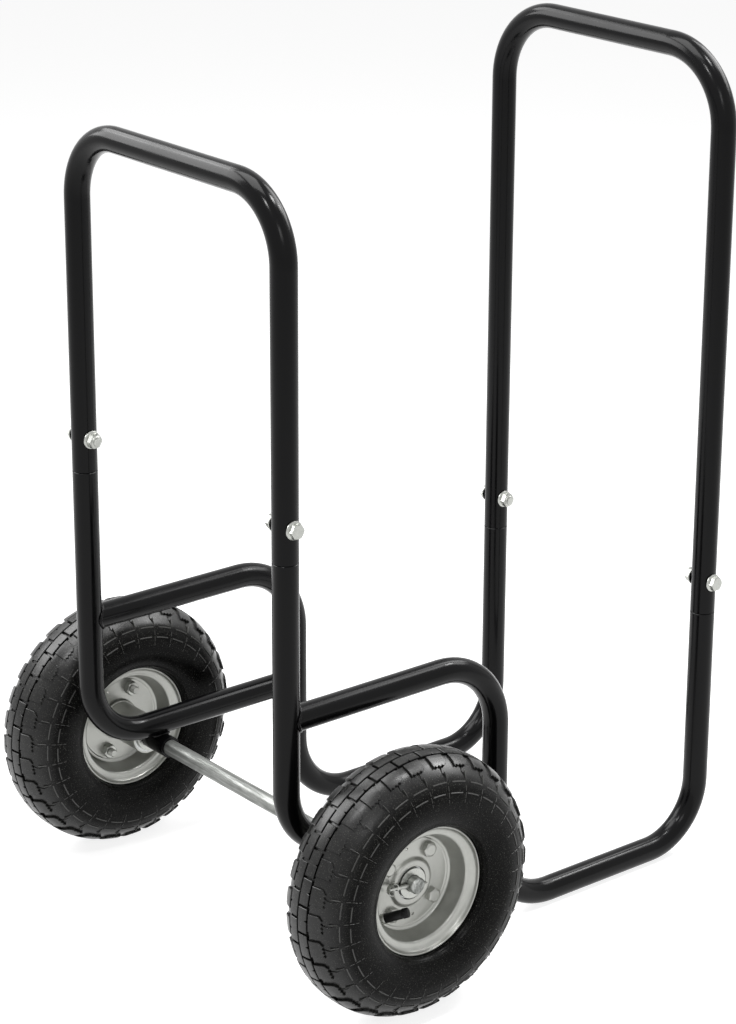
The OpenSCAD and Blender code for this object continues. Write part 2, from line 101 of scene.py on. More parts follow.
bpy.ops.object.camera_add(location=AIM - forward * DISTANCE)
camera = bpy.context.object
camera.name = "camera"
camera.rotation_euler = Matrix((rolled_right, rolled_up, -forward)).transposed().to_euler()
camera.data.lens = FOCAL_LENGTH / PHOTO_HEIGHT * SENSOR
camera.data.clip_end = 20
bpy.context.scene.camera = camera
bpy.context.scene.view_settings.view_transform = "Standard"
print("lens", round(camera.data.lens, 1), "mm")

# %% [markdown]
# ## Node helpers
# A material here is a small network of nodes. One function adds a node, sets it and links it, which keeps
# each finish short enough to read. Colours are picked as sRGB hex codes, the way a screen shows them, and
# turned to linear light once. Pattern sizes are real sizes: a noise whose scale is 1 / 1.5 mm has lumps
# about 1.5 mm wide.

# %% Node helpers
def linear(code):
    """A screen colour such as "#1a2b3c" as linear light."""
    channels = [int(code[i:i + 2], 16) / 255 for i in (1, 3, 5)]
    return [c / 12.92 if c <= 0.04045 else ((c + 0.055) / 1.055) ** 2.4 for c in channels] + [1]


def per(size):
    """The scale of a pattern whose features are this many millimetres apart."""
    return 1 / (size * MM)


def add(tree, kind, settings={}, links={}):
    """Adds one node. A setting's key is an input's name or number, or else an attribute of the node."""
    node = tree.nodes.new("ShaderNode" + kind)
    for key, value in settings.items():
        if isinstance(key, int) or key in node.inputs:
            node.inputs[key].default_value = value
        else:
            setattr(node, key, value)
    for key, socket in links.items():
        tree.links.new(socket, node.inputs[key])
    return node


def new_material(name):
    """A material with its node tree, its shader and the object's own coordinates in metres."""
    material = bpy.data.materials.new(name)
    material.use_nodes = True
    tree = material.node_tree
    place = add(tree, "TexCoord").outputs["Object"]
    return material, tree, tree.nodes["Principled BSDF"], place


# numbers of the sockets that a Mix node uses for colours
FIRST, SECOND, MIXED = 6, 7, 2

# %% [markdown]
# ## Light and floor
# The photograph is a cut-out on plain white, lit from high above. The world is white for the camera and
# for reflections, so that metal shows the white that surrounds it, and a softer grey for the light that
# falls on the cart. The bends of the handles show three bright spots side by side, and each spot gives
# the direction of a lamp: they hang in a row that runs from front to back, to the right of the cart. A
# second row, arched over the cart, brings out the tyres' tread. A lamp on the left shows the top bars, and a
# weak one on the right the bends of the rims. The floor is white by its own colour, and darkens only where
# the cart keeps light away from it.

# %% World
SKY_LIGHT = 0.22
bpy.context.scene.world = bpy.data.worlds.new("studio")
world = bpy.context.scene.world
world.use_nodes = True
sky = world.node_tree
seen = add(sky, "LightPath")
direct = add(sky, "Math", {"operation": "MAXIMUM"},
             {0: seen.outputs["Is Camera Ray"], 1: seen.outputs["Is Glossy Ray"]})
either = add(sky, "Math", {"operation": "MAXIMUM"},
             {0: direct.outputs[0], 1: seen.outputs["Is Transmission Ray"]})
strength = add(sky, "MapRange", {"To Min": SKY_LIGHT, "To Max": 1.0}, {"Value": either.outputs[0]})
backdrop = sky.nodes["Background"]
backdrop.inputs["Color"].default_value = (1, 1, 1, 1)
sky.links.new(strength.outputs[0], backdrop.inputs["Strength"])
print("white backdrop, sky light", SKY_LIGHT)

# %% Lamps
CART = Vector((0, 0, 0.4))     # the point that every lamp faces
LAMPS = [                      # name, place in metres, side in metres, power in watts
    ("row_front", (0.5, -1.1, 2.15), 0.22, 9),
    ("row_middle", (0.5, 0.4, 2.15), 0.22, 9),
    ("row_back", (0.5, 1.7, 2.15), 0.22, 9),
    ("arch_front", (-1.25, -0.95, 1.55), 1.1, 28),
    ("arch_top", (-0.35, -0.4, 2.22), 1.1, 28),
    ("arch_back", (0.15, 1.4, 1.65), 1.1, 28),
    ("left", (-1.9, -0.2, 2.15), 0.8, 14),
    ("right", (1.8, -0.95, 1.75), 0.5, 5)]
for name, place, side, power in LAMPS:
    bpy.ops.object.light_add(type="AREA", location=place)
    lamp = bpy.context.object
    lamp.name = name
    lamp.rotation_euler = (Vector(place) - CART).to_track_quat("Z", "Y").to_euler()
    lamp.data.size = side
    lamp.data.energy = power
print(len(LAMPS), "lamps")

# %% Floor
floor_white, tree, shader, place = new_material("floor_white")
OWN_WHITE = 0.84
SHADOW_DEPTH = 0.4
shader.inputs["Base Color"].default_value = (SHADOW_DEPTH, SHADOW_DEPTH, SHADOW_DEPTH, 1)
shader.inputs["Roughness"].default_value = 1
shader.inputs["Specular IOR Level"].default_value = 0
shader.inputs["Emission Color"].default_value = (1, 1, 1, 1)
seen = add(tree, "LightPath")
direct = add(tree, "Math", {"operation": "MAXIMUM"},
             {0: seen.outputs["Is Camera Ray"], 1: seen.outputs["Is Glossy Ray"]})
glow = add(tree, "MapRange", {"To Max": OWN_WHITE}, {"Value": direct.outputs[0]})
tree.links.new(glow.outputs[0], shader.inputs["Emission Strength"])

bpy.ops.mesh.primitive_plane_add(size=40, location=(0, 0, -0.3 * MM))
floor = bpy.context.object
floor.name = "floor"
floor.data.materials.append(floor_white)
print("floor 40 m wide")

# %% [markdown]
# ## Finishes
# ### Black powder coat
# The tubes are steel under powder coat: a plastic powder that is baked until it flows. It is a deep black
# with a clear gloss that comes up mostly at the tubes' edges, and it never levels out completely, so
# its highlights have a faint orange-peel ripple about 2 mm wide. A second, slow noise dulls the gloss here
# and there, as hands and smoke do.

# %% Black powder coat
powder_coat, tree, shader, place = new_material("black_powder_coat")
shader.inputs["Base Color"].default_value = linear("#070708")
shader.inputs["Specular IOR Level"].default_value = 0.14
handled = add(tree, "TexNoise", {"Scale": per(45), "Detail": 3}, {"Vector": place})
dulled = add(tree, "MapRange", {"From Min": 0.3, "From Max": 0.7, "To Min": 0.14, "To Max": 0.24},
             {"Value": handled.outputs[0]})
peel = add(tree, "TexNoise", {"Scale": per(2), "Detail": 1}, {"Vector": place})
ripple = add(tree, "Bump", {"Strength": 0.25, "Distance": 0.05 * MM}, {"Height": peel.outputs[0]})
tree.links.new(dulled.outputs[0], shader.inputs["Roughness"])
tree.links.new(ripple.outputs[0], shader.inputs["Normal"])
print(powder_coat.name)

# %% [markdown]
# ### Bright zinc
# Bolts, nuts, washers and pins are steel with bright zinc plate. Only the rims' bolts are painted together
# with the rims. Barrel plating leaves a fine, slightly cloudy silver: metallic, a little rough, with
# patches that scatter more light than others.

# %% Bright zinc
zinc, tree, shader, place = new_material("bright_zinc_plate")
shader.inputs["Metallic"].default_value = 1
cloud = add(tree, "TexNoise", {"Scale": per(3), "Detail": 4}, {"Vector": place})
tint = add(tree, "Mix", {"data_type": "RGBA", FIRST: linear("#989a96"), SECOND: linear("#bcbdb8")},
           {"Factor": cloud.outputs[0]})
hazy = add(tree, "MapRange", {"From Min": 0.3, "From Max": 0.7, "To Min": 0.24, "To Max": 0.4},
           {"Value": cloud.outputs[0]})
grit = add(tree, "TexNoise", {"Scale": per(0.5)}, {"Vector": place})
tumbled = add(tree, "Bump", {"Strength": 0.2, "Distance": 0.03 * MM}, {"Height": grit.outputs[0]})
tree.links.new(tint.outputs[MIXED], shader.inputs["Base Color"])
tree.links.new(hazy.outputs[0], shader.inputs["Roughness"])
tree.links.new(tumbled.outputs[0], shader.inputs["Normal"])
print(zinc.name)

# %% [markdown]
# ### Galvanised bar
# The axle is a drawn bar with dull zinc. Drawing leaves fine lines along the bar, and the dip leaves pale
# and dark streaks. Both come from one noise that is stretched along X, the bar's own direction.

# %% Galvanised bar
galvanised, tree, shader, place = new_material("galvanised_bar")
shader.inputs["Metallic"].default_value = 0.85
along = add(tree, "Mapping", {"Scale": (0.04, 1, 1)}, {"Vector": place})
streak = add(tree, "TexNoise", {"Scale": per(2.5), "Detail": 5}, {"Vector": along.outputs[0]})
patch = add(tree, "Mapping", {"Scale": (0.3, 1, 1)}, {"Vector": place})
blotch = add(tree, "TexNoise", {"Scale": per(10), "Detail": 3}, {"Vector": patch.outputs[0]})
worn = add(tree, "Math", {"operation": "MULTIPLY"}, {0: streak.outputs[0], 1: blotch.outputs[0]})
share = add(tree, "MapRange", {"From Min": 0.14, "From Max": 0.36}, {"Value": worn.outputs[0]})
tint = add(tree, "Mix", {"data_type": "RGBA", FIRST: linear("#6c6e6b"), SECOND: linear("#a8aaa7")},
           {"Factor": share.outputs[0]})
matt = add(tree, "MapRange", {"To Min": 0.5, "To Max": 0.36}, {"Value": share.outputs[0]})
drawn = add(tree, "Bump", {"Strength": 0.3, "Distance": 0.05 * MM}, {"Height": streak.outputs[0]})
tree.links.new(tint.outputs[MIXED], shader.inputs["Base Color"])
tree.links.new(matt.outputs[0], shader.inputs["Roughness"])
tree.links.new(drawn.outputs[0], shader.inputs["Normal"])
print(galvanised.name)

# %% [markdown]
# ### Silver rim paint
# The pressed rims are sprayed with aluminium paint. Its flakes make it half metal, half grey paint: it
# brightens where it faces the light, but shows no sharp reflection. The flakes are far too fine to
# see, so they are drawn 0.7 mm wide, which is just enough to break up the highlight.

# %% Silver rim paint
rim_paint, tree, shader, place = new_material("silver_rim_paint")
shader.inputs["Metallic"].default_value = 0.7
spray = add(tree, "TexNoise", {"Scale": per(9), "Detail": 4}, {"Vector": place})
tint = add(tree, "Mix", {"data_type": "RGBA", FIRST: linear("#a3a49f"), SECOND: linear("#b8b9b4")},
           {"Factor": spray.outputs[0]})
flake = add(tree, "TexNoise", {"Scale": per(0.7), "Detail": 2}, {"Vector": place})
sparkle = add(tree, "Bump", {"Strength": 0.25, "Distance": 0.04 * MM}, {"Height": flake.outputs[0]})
soft = add(tree, "MapRange", {"From Min": 0.3, "From Max": 0.7, "To Min": 0.28, "To Max": 0.38},
           {"Value": spray.outputs[0]})
tree.links.new(tint.outputs[MIXED], shader.inputs["Base Color"])
tree.links.new(soft.outputs[0], shader.inputs["Roughness"])
tree.links.new(sparkle.outputs[0], shader.inputs["Normal"])
print(rim_paint.name)

# %% [markdown]
# ### Rubber
# A tyre is moulded natural rubber with carbon black. It is nearly black, with a wide, waxy gloss where it
# faces the light. Rolling polishes the tread, so the gloss rises from the sidewall to the tread, by the
# distance from the axle. A thin film of dust lies on it in patches, and specks of it cling to the mould's
# blasted grain, which is about half a millimetre. The specks are drawn 0.9 mm wide so that they show. The
# thin ribs on the sidewall are a lighter grey, which is a painted highlight for the light that catches
# their edges. The valve's cap is smooth black plastic, so it is darker and glossier.

# %% Rubber and plastic
def from_axle(tree, place):
    """The distance from the wheels' axle, in metres."""
    centre = add(tree, "Mapping", {"Location": (0, -wheel_middle.y, -wheel_middle.z), "Scale": (0, 1, 1)},
                 {"Vector": place})
    return add(tree, "VectorMath", {"operation": "LENGTH"}, {0: centre.outputs[0]}).outputs["Value"]


DULL_TO, POLISHED_FROM = 103, 123
rubber, tree, shader, place = new_material("moulded_rubber")
away = from_axle(tree, place)
waxy = add(tree, "MapRange", {"From Min": DULL_TO * MM, "From Max": POLISHED_FROM * MM, "To Min": 0.07,
                              "To Max": 0.4}, {"Value": away})
tree.links.new(waxy.outputs[0], shader.inputs["Specular IOR Level"])
dust = add(tree, "TexNoise", {"Scale": per(30), "Detail": 5}, {"Vector": place})
share = add(tree, "MapRange", {"From Min": 0.35, "From Max": 0.7}, {"Value": dust.outputs[0]})
film = add(tree, "Mix", {"data_type": "RGBA", FIRST: linear("#060606"), SECOND: linear("#0f0f0e")},
           {"Factor": share.outputs[0]})
specks = add(tree, "TexNoise", {"Scale": per(0.9), "Detail": 2}, {"Vector": place})
few = add(tree, "MapRange", {"From Min": 0.6, "From Max": 0.72}, {"Value": specks.outputs[0]})
tint = add(tree, "Mix", {"data_type": "RGBA", SECOND: linear("#555551")},
           {"Factor": few.outputs[0], FIRST: film.outputs[MIXED]})
matt = add(tree, "MapRange", {"To Min": 0.26, "To Max": 0.36}, {"Value": share.outputs[0]})
grain = add(tree, "TexNoise", {"Scale": per(0.6), "Detail": 3}, {"Vector": place})
blasted = add(tree, "Bump", {"Strength": 0.35, "Distance": 0.1 * MM}, {"Height": grain.outputs[0]})
tree.links.new(tint.outputs[MIXED], shader.inputs["Base Color"])
tree.links.new(matt.outputs[0], shader.inputs["Roughness"])
tree.links.new(blasted.outputs[0], shader.inputs["Normal"])

# The ribs' grey is a painted highlight: it stands in for the light that catches their raised edges.
rib_highlight, tree, shader, place = new_material("highlight_grey_rubber")
shader.inputs["Base Color"].default_value = linear("#3c3c3a")
shader.inputs["Roughness"].default_value = 0.4

cap_plastic, tree, shader, place = new_material("black_polyethylene")
shader.inputs["Base Color"].default_value = linear("#0a0a0a")
shader.inputs["Specular IOR Level"].default_value = 0.2
scuffs = add(tree, "TexNoise", {"Scale": per(4), "Detail": 3}, {"Vector": place})
worn = add(tree, "MapRange", {"To Min": 0.25, "To Max": 0.5}, {"Value": scuffs.outputs[0]})
tree.links.new(worn.outputs[0], shader.inputs["Roughness"])
print(rubber.name, rib_highlight.name, cap_plastic.name)

# %% [markdown]
# ### Ball bearings
# A bearing shows a ground steel ring outside, another one inside, and a dark rubber seal between them.
# The CAD bearing is one solid, so the material finds the seal by its distance from the axle: between
# 11 and 14.5 mm it turns from steel to rubber.

# %% Bearing steel with its seal
SEAL_FROM, SEAL_TO = 11, 14.5
bearing, tree, shader, place = new_material("bearing_steel_and_seal")
away = from_axle(tree, place)
outside = add(tree, "Math", {"operation": "GREATER_THAN", 1: SEAL_FROM * MM}, {0: away})
inside = add(tree, "Math", {"operation": "LESS_THAN", 1: SEAL_TO * MM}, {0: away})
seal = add(tree, "Math", {"operation": "MULTIPLY"}, {0: outside.outputs[0], 1: inside.outputs[0]})
tint = add(tree, "Mix", {"data_type": "RGBA", FIRST: linear("#a9abaa"), SECOND: linear("#1c1c1c")},
           {"Factor": seal.outputs[0]})
metal = add(tree, "Math", {"operation": "SUBTRACT", 0: 1.0}, {1: seal.outputs[0]})
gloss = add(tree, "MapRange", {"To Min": 0.25, "To Max": 0.6}, {"Value": seal.outputs[0]})
tree.links.new(tint.outputs[MIXED], shader.inputs["Base Color"])
tree.links.new(metal.outputs[0], shader.inputs["Metallic"])
tree.links.new(gloss.outputs[0], shader.inputs["Roughness"])
print(bearing.name)

# %% [markdown]
# ## Tools for modelling
# Most wheel pieces are turned: one outline, spun once round the axle. The outline is drawn the way a hand
# would do it, by extruding a single vertex from point to point. An operator acts on everything that is
# selected, so each tool starts by clearing the selection.

# %% Drawing and turning
def focus(*pieces):
    """Selects only these objects and makes the first one active."""
    bpy.ops.object.select_all(action="DESELECT")
    for piece in pieces:
        piece.select_set(True)
    if pieces:
        bpy.context.view_layer.objects.active = pieces[0]


def draw(name, points):
    """Draws a chain of points, in millimetres, and leaves it selected in edit mode."""
    focus()
    bpy.ops.mesh.primitive_plane_add(size=MM, location=Vector(points[0]) * MM)
    piece = bpy.context.object
    piece.name = name
    bpy.ops.object.mode_set(mode="EDIT")
    bpy.ops.mesh.merge(type="CENTER")
    for here, there in zip(points, points[1:]):
        stride = (Vector(there) - Vector(here)) * MM
        bpy.ops.mesh.extrude_region_move(TRANSFORM_OT_translate={"value": stride})
    bpy.ops.mesh.select_all(action="SELECT")
    bpy.ops.mesh.remove_doubles(threshold=0.001 * MM)
    return piece


def close(piece):
    """Merges what lies together, points the faces outwards and leaves edit mode."""
    bpy.ops.mesh.select_all(action="SELECT")
    bpy.ops.mesh.remove_doubles(threshold=0.001 * MM)
    bpy.ops.mesh.normals_make_consistent(inside=False)
    bpy.ops.object.mode_set(mode="OBJECT")
    focus(piece)
    bpy.ops.object.transform_apply(location=True, rotation=True, scale=True)
    return piece


def turned(name, outline, steps=96):
    """A piece turned round the X axis from a closed outline of (radius, place along X)."""
    points = [(along, radius, 0) for radius, along in outline]
    piece = draw(name, points + points[:1])
    bpy.ops.mesh.spin(steps=steps, angle=math.tau, center=(0, 0, 0), axis=(1, 0, 0))
    return close(piece)


def arc(centre, radius, start, end, steps=8):
    """Points of an arc, from one angle in degrees to another."""
    turns = [math.radians(start + (end - start) * i / steps) for i in range(steps + 1)]
    return [(centre[0] + radius * math.cos(a), centre[1] + radius * math.sin(a)) for a in turns]


# %% [markdown]
# A finished piece gets smooth shading with crisp corners, its material, the body it moves with and the
# CAD nodes that it stands for. Wheel pieces are modelled once, copied with a mesh of their own, mirrored
# for the left wheel and turned to the angle at which each wheel was parked.

# %% Finishing and placing
PARKED = {"left": 20, "right": 6.5}


def finish(piece, material, body, replaces=(), crisp=35):
    """The last step of every piece."""
    focus(piece)
    bpy.ops.object.shade_smooth_by_angle(angle=math.radians(crisp))
    piece.data.materials.clear()
    piece.data.materials.append(material)
    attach(piece, body)
    if replaces:
        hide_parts(*replaces)
    print(piece.name, len(piece.data.polygons), "faces")


def copied(pattern, name):
    """A copy with its own mesh."""
    focus(pattern)
    bpy.ops.object.duplicate()
    bpy.context.object.name = name
    return bpy.context.object


def settle(piece):
    """Bakes an object's place into its mesh, and turns faces out again after a mirror."""
    focus(piece)
    bpy.ops.object.transform_apply(location=True, rotation=True, scale=True)
    bpy.ops.object.mode_set(mode="EDIT")
    bpy.ops.mesh.select_all(action="SELECT")
    bpy.ops.mesh.normals_make_consistent(inside=False)
    bpy.ops.object.mode_set(mode="OBJECT")


def joined(name, *pieces):
    """Several objects as one."""
    focus(*pieces)
    bpy.ops.object.join()
    bpy.context.object.name = name
    return bpy.context.object


def to_wheels(pattern, name, material, replaces=(), crisp=35):
    """Puts a copy of a wheel piece on each wheel, and removes the pattern."""
    for side, sign in SIDES.items():
        piece = copied(pattern, f"{name}_{side}_look")
        piece.scale.x = sign
        piece.rotation_euler.x = math.radians(PARKED[side])
        piece.location = (sign * wheel_middle.x, wheel_middle.y, wheel_middle.z)
        settle(piece)
        stood_for = [f"{node}_{side}" for node in replaces]
        finish(piece, material, f"{side}_wheel", stood_for, crisp)
    bpy.data.objects.remove(pattern)


# %% [markdown]
# ## The tyres
# The tyre's outside is one smooth curve from the crown of the tread to the rim. The tread blocks reach
# this curve, and the rubber between them lies under it. So the curve is worked out first, with the
# distance along it, and every tyre piece is drawn flat and then laid on it: t is the distance
# from the crown, s the distance round the tyre, and h the height over the curve.

# %% The tyre's outside curve
WIDEST_R = 89.5                # radius at which the tyre is widest
SHOULDER_RUN, SHOULDER_RISE = 0.77, 1.24
FLANGE_R, RIM_HALF = 63.5, 28.5
PITCHES = 30
PITCH = math.tau * WHEEL_R / PITCHES


def quarter(half_width, height, steps):
    """From the crown down to the widest point, as (radius, place along X)."""
    turns = [math.radians(90 - 90 * i / steps) for i in range(steps)]
    return [Vector((WIDEST_R + height * math.sin(a) ** SHOULDER_RISE,
                    half_width * math.cos(a) ** SHOULDER_RUN)) for a in turns]


def outside_curve():
    """From the crown down to the rim's edge."""
    edge = FLANGE_R + 0.3
    lower = [math.radians(6 * i) for i in range(16)]
    return quarter(TYRE_HALF, WHEEL_R - WIDEST_R, 30) + [
        Vector((WIDEST_R - (WIDEST_R - edge) * math.sin(a),
                RIM_HALF + (TYRE_HALF - RIM_HALF) * math.cos(a))) for a in lower]


curve = outside_curve()
runs = [(there - here).normalized() for here, there in zip(curve, curve[1:])]
slopes = [(a + b).normalized() for a, b in zip(runs[:1] + runs, runs + runs[-1:])]
distance = [0]
for here, there in zip(curve, curve[1:]):
    distance.append(distance[-1] + (there - here).length)
CURVE_LENGTH = distance[-1]


def skin(t, h=0):
    """The point (radius, place along X) at distance t from the crown and height h over the curve."""
    t = min(max(t, 0), CURVE_LENGTH)
    i = next(i for i in range(1, len(curve)) if distance[i] >= t)
    share = (t - distance[i - 1]) / (distance[i] - distance[i - 1])
    run = slopes[i - 1].lerp(slopes[i], share).normalized()
    return curve[i - 1].lerp(curve[i], share) + Vector((run.y, -run.x)) * h


def reach(radius):
    """The distance from the crown at which the curve comes down to a radius."""
    return next(d for d, point in zip(distance, curve) if point.x <= radius)


print(f"crown to rim {CURVE_LENGTH:.1f} mm, pitch {PITCH:.2f} mm")

# %% [markdown]
# The carcass is everything but the tread: the floor of the grooves, the shoulders, the sidewalls and the
# beads that sit in the rims. It is one closed section, so it can be turned like a rim. Its outside is the
# curve, sunk by the depth of the grooves in the middle, and rising to the curve on the sidewall. A thin
# rib runs round just outside the rim, which fitters use to see that the tyre sits true.

# %% Carcass
GROOVE_DEPTH = 3.4
GROOVES_FROM, GROOVES_TO = 27, 46
SIDEWALL_DEPTH = 0.3
CAVITY_HALF, CAVITY_HEIGHT = 37.5, 31
RIB_R, RIB_HEIGHT = 67.5, 0.8


def ease(value, start, end):
    """0 before start, 1 after end, and a soft step between them."""
    share = min(max((value - start) / (end - start), 0), 1)
    return share * share * (3 - 2 * share)


def sunk(t):
    """How far the carcass lies under the curve."""
    depth = GROOVE_DEPTH + (SIDEWALL_DEPTH - GROOVE_DEPTH) * ease(t, GROOVES_FROM, GROOVES_TO)
    rib = RIB_HEIGHT * math.exp(-((skin(t).x - RIB_R) / 0.9) ** 2)
    return depth - rib


def carcass_half():
    """Half of the section, from the crown over the sidewall and the bead back to the cavity's top."""
    stations = [i * 2.5 for i in range(33)]
    stations += [82.5 + i * 0.7 for i in range(int((CURVE_LENGTH - 82.5) / 0.7))] + [CURVE_LENGTH]
    outside = [skin(t, -sunk(t)) for t in stations]
    bead = arc((57.5, 26.5), 6.15, -10, -90) + arc((56.4, 18.4), 1.95, 90, 180)
    toe = [(54.45, 13.5), (56, 11.5), (60, 13.5), (65, 20.5), (70.5, 28.5)]
    wall = [(89.5 - 19 * math.sin(a), 28.5 + 9 * math.cos(a)) for a in (1.2, 0.8, 0.4)]
    cavity = quarter(CAVITY_HALF, CAVITY_HEIGHT, 12)[::-1]
    return [tuple(p) for p in outside + bead + toe + wall + cavity]


half = carcass_half()
other = [(radius, -along) for radius, along in half[::-1][1:-1]]
carcass = turned("carcass", half + other, steps=144)
print(carcass.name, len(carcass.data.polygons), "faces")

# %% [markdown]
# The tread repeats every 27 mm. Each pitch has a long block by the middle, a block on the shoulder with a
# ragged outer edge, and a panel that runs down onto the sidewall between two hooked grooves. Cutting
# the grooves out of the carcass with Booleans would need hundreds of cuts. Instead one pitch is drawn flat,
# with real thickness and softened edges, and is cut into strips so that it can bend. Then it is laid on
# the curve. Blender's bend tool makes circles only, so a short formula moves each vertex there.

# %% Tools for the tread
def block(name, outline, top, bottom, soft):
    """A flat rubber block of the outline (s, t), from one height to another, with a softened top edge."""
    piece = draw(name, [(s, t, bottom) for s, t in outline + outline[:1]])
    bpy.ops.mesh.edge_face_add()
    bpy.ops.mesh.extrude_region_move(TRANSFORM_OT_translate={"value": (0, 0, (top - bottom) * MM)})
    bpy.ops.mesh.bevel(offset=soft * MM, segments=1, affect="EDGES")
    return piece


def cut_into_strips(across, along):
    """Cuts the piece in edit mode every so many millimetres, so that it can bend."""
    low, high = -10, 60
    for normal, gap in (((1, 0, 0), across), ((0, 1, 0), along)):
        for i in range(int((high - low) / gap)):
            bpy.ops.mesh.select_all(action="SELECT")
            at = (low + i * gap + 0.37) * MM
            bpy.ops.mesh.bisect(plane_co=[n * at for n in normal], plane_no=normal)


def level(t):
    """No drop under the curve."""
    return 0


def lay_on_tyre(piece, under=level):
    """Moves each flat vertex (s, t, h) onto the tyre, lowered by under(t)."""
    close(piece)
    for vertex in piece.data.vertices:
        s, t, h = vertex.co / MM
        radius, along = skin(t, h - under(t))
        turn = s / WHEEL_R
        vertex.co = Vector((along, radius * math.cos(turn), radius * math.sin(turn))) * MM
    return piece


def all_round(piece):
    """Repeats one pitch round the tyre, and mirrors the row to the other shoulder, half a pitch on."""
    focus(piece)
    bpy.ops.object.mode_set(mode="EDIT")
    bpy.ops.mesh.select_all(action="SELECT")
    bpy.ops.mesh.spin(steps=PITCHES - 1, angle=math.tau * (PITCHES - 1) / PITCHES, dupli=True,
                      center=(0, 0, 0), axis=(1, 0, 0))
    bpy.ops.object.mode_set(mode="OBJECT")
    other = copied(piece, piece.name + "_other")
    other.scale.x = -1
    other.rotation_euler.x = math.pi / PITCHES
    settle(other)
    settle(piece)
    return joined(piece.name, piece, other)


print("tread tools ready")

# %% Tread blocks
SHOULDER_BLOCK = [(18, 13.2), (18, 28.6), (15.9, 26.7), (13.6, 28.4), (11.5, 26.5), (9.2, 28.2),
                  (7.1, 26.3), (4.8, 28), (3.2, 26.4), (0.8, 24.8), (0, 22.5), (0, 13.2)]
MIDDLE_BLOCK = [(-3.8, 0.8), (21, 0.8), (21, 11.6), (9.6, 11.6), (8.4, 9.4), (7.2, 11.6), (-3.8, 11.6)]
BLOCK_BOTTOM = -3.7

rows = []
for name, outline in (("shoulder_blocks", SHOULDER_BLOCK), ("middle_blocks", MIDDLE_BLOCK)):
    piece = block(name, outline, 0, BLOCK_BOTTOM, 0.45)
    cut_into_strips(5, 4)
    rows.append(all_round(lay_on_tyre(piece)))
    print(name, len(rows[-1].data.polygons), "faces")

# %% [markdown]
# The panels lie lower than the blocks and end on the sidewall, so they are lowered by an amount that
# shrinks down the shoulder. Two rings of short raised dashes follow below them, and a thin lip of rubber,
# left by the joint of the mould's segments, runs down the sidewall from each groove. Both stand out from
# the sidewall by less than a millimetre, and are a piece of their own, because their lighter grey is a
# painted highlight for the light that catches their edges.

# %% Shoulder panels and dashes
HOOK = [(9.5, 12.6), (9.5, 27.5), (11.5, 33.5), (7.5, 41.5), (7.5, 47)]
HOOK_WIDTH = 1.5
PANEL_DEPTH = 2.3
DASH_RINGS = [(111, 9), (102.5, 13)]                   # radius, and start in the pitch
DASH_LENGTH, DASH_WIDTH, DASH_HEIGHT = 19, 1.1, 0.6
LIP_START, LIP_WIDTH, LIP_HEIGHT = 7.1, 0.8, 0.45
LIP_RUNS = [(33.5, 42), (47.5, 52), (53.5, 58.5), (60, 63)]


def panel_depth(t):
    """How far a panel lies under the curve."""
    return PANEL_DEPTH + (0.15 - PANEL_DEPTH) * ease(t, 27, 47)


far_side = [(s + PITCH - HOOK_WIDTH, t) for s, t in HOOK]
piece = block("panels", HOOK + far_side[::-1], 0, -2.4, 0.3)
cut_into_strips(5, 4)
rows.append(all_round(lay_on_tyre(piece, panel_depth)))

ribs = []
for radius, start in DASH_RINGS:
    t = reach(radius)
    outline = [(start, t), (start + DASH_LENGTH, t), (start + DASH_LENGTH, t + DASH_WIDTH),
               (start, t + DASH_WIDTH)]
    piece = block("dashes", outline, DASH_HEIGHT - SIDEWALL_DEPTH, -1, 0.2)
    cut_into_strips(5, 60)
    ribs.append(all_round(lay_on_tyre(piece)))

lip_end = LIP_START + LIP_WIDTH
for start, end in LIP_RUNS:
    outline = [(LIP_START, start), (lip_end, start), (lip_end, end), (LIP_START, end)]
    piece = block("lips", outline, LIP_HEIGHT - SIDEWALL_DEPTH, -1.2, 0.2)
    cut_into_strips(60, 4)
    ribs.append(all_round(lay_on_tyre(piece)))
print([len(row.data.polygons) for row in rows + ribs])

# %% The whole tyre
tyre = joined("tyre", carcass, *rows)
to_wheels(tyre, "tyre", rubber, ["tyre"], crisp=40)
# The ribs get the lighter grey rubber of the painted highlight.
to_wheels(joined("sidewall_ribs", *ribs), "sidewall_ribs", rib_highlight, crisp=40)

# %% [markdown]
# ## The rims
# A rim half is pressed from 2 mm sheet. Its section is drawn as the line of its visible face, with the
# bends that a press leaves, and the sheet's thickness is added behind it. The cut edges are rounded over,
# as a rolled rim's are, so that they don't cut the tyre. A low ring runs round the disc, just inside the
# barrel. The outer half has a boss that covers the end of the hub, and the inner half is welded to the
# hub.

# %% Sheet metal
SHEET = 2


def strip(path, thickness):
    """The closed outline of a sheet whose left face is the path, with both cut edges rounded over."""
    path = [Vector(p) for p in path]
    steps = [(b - a).normalized() for a, b in zip(path, path[1:])]
    behind = []
    for i, point in enumerate(path):
        a, b = steps[max(i - 1, 0)], steps[min(i, len(steps) - 1)]
        sideways = Vector((a.y + b.y, -a.x - b.x))
        behind.append(point + sideways * 2 / sideways.length_squared * thickness)
    half_turn = [math.radians(a) for a in (36, 72, 108, 144)]
    end, start = (path[-1] + behind[-1]) / 2, (path[0] + behind[0]) / 2
    across, back = path[-1] - end, behind[0] - start
    tip = [end + across * math.cos(a) + steps[-1] * thickness / 2 * math.sin(a) for a in half_turn]
    root = [start + back * math.cos(a) - steps[0] * thickness / 2 * math.sin(a) for a in half_turn]
    return [tuple(p) for p in path + tip + behind[::-1] + root]


